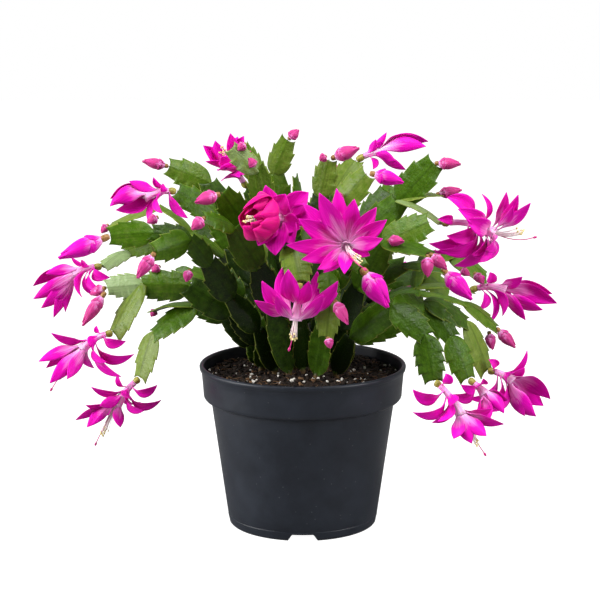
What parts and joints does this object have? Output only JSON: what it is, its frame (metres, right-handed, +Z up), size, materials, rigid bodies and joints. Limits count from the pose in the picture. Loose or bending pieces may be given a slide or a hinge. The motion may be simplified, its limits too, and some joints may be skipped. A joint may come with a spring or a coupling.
{
  "type": "potted christmas cactus",
  "caption": "Flowering Christmas cactus with arching flat-segmented stems, hanging tubular flowers and buds, rooted in a tapered nursery pot with a deep rolled rim.",
  "frame": {"origin": "centre of the pot's foot, on the surface it stands on", "axes": "+Z up along the pot's axis, -Y to the front of the plant, +X to the right as seen from the front"},
  "size_m": [0.378, 0.3147, 0.2902],
  "materials": {
    "charcoal_plastic": "satin",
    "peat_mix": "matte",
    "cactus_green": "satin",
    "magenta_petal": "satin",
    "pink_bud": "satin"
  },
  "bodies": {
    "root": {"bud_back": "pink_bud", "bud_front_large": "pink_bud", "bud_front_small": "pink_bud", "bud_left_inner": "pink_bud", "bud_left_large": "pink_bud", "bud_left_long": "pink_bud", "bud_left_pale": "pink_bud", "bud_left_peak": "pink_bud", "bud_left_pointed": "pink_bud", "bud_left_upper": "pink_bud", "bud_right_hanging": "pink_bud", "bud_right_large": "pink_bud", "bud_right_low": "pink_bud", "bud_right_peak": "pink_bud", "bud_right_sloping": "pink_bud", "bud_right_small": "pink_bud", "bud_right_upper": "pink_bud", "bud_top_large": "pink_bud", "bud_top_left": "pink_bud", "bud_top_middle": "pink_bud", "bud_top_right": "pink_bud", "flower_back_left": "magenta_petal", "flower_back_middle": "magenta_petal", "flower_back_right": "magenta_petal", "flower_front_big": "magenta_petal", "flower_front_hanging": "magenta_petal", "flower_front_red": "magenta_petal", "flower_left_bottom": "magenta_petal", "flower_left_middle": "magenta_petal", "flower_left_side": "magenta_petal", "flower_left_top": "magenta_petal", "flower_right_bottom": "magenta_petal", "flower_right_inner": "magenta_petal", "flower_right_low": "magenta_petal", "flower_right_side": "magenta_petal", "flower_right_top": "magenta_petal", "flower_top_left": "magenta_petal", "flower_top_right": "magenta_petal", "pot": "charcoal_plastic", "potting_mix": "peat_mix", "stem_back_left": "cactus_green", "stem_back_mid": "cactus_green", "stem_back_right": "cactus_green", "stem_front_left": "cactus_green", "stem_front_mid": "cactus_green", "stem_front_right": "cactus_green", "stem_left_front": "cactus_green", "stem_left_low": "cactus_green", "stem_left_mid": "cactus_green", "stem_left_rear": "cactus_green", "stem_left_upper": "cactus_green", "stem_right_front": "cactus_green", "stem_right_low": "cactus_green", "stem_right_mid": "cactus_green", "stem_right_top": "cactus_green", "stem_right_upper": "cactus_green", "stem_top_left": "cactus_green", "stem_top_mid": "cactus_green", "stem_top_right": "cactus_green"}
  },
  "joints": []
}
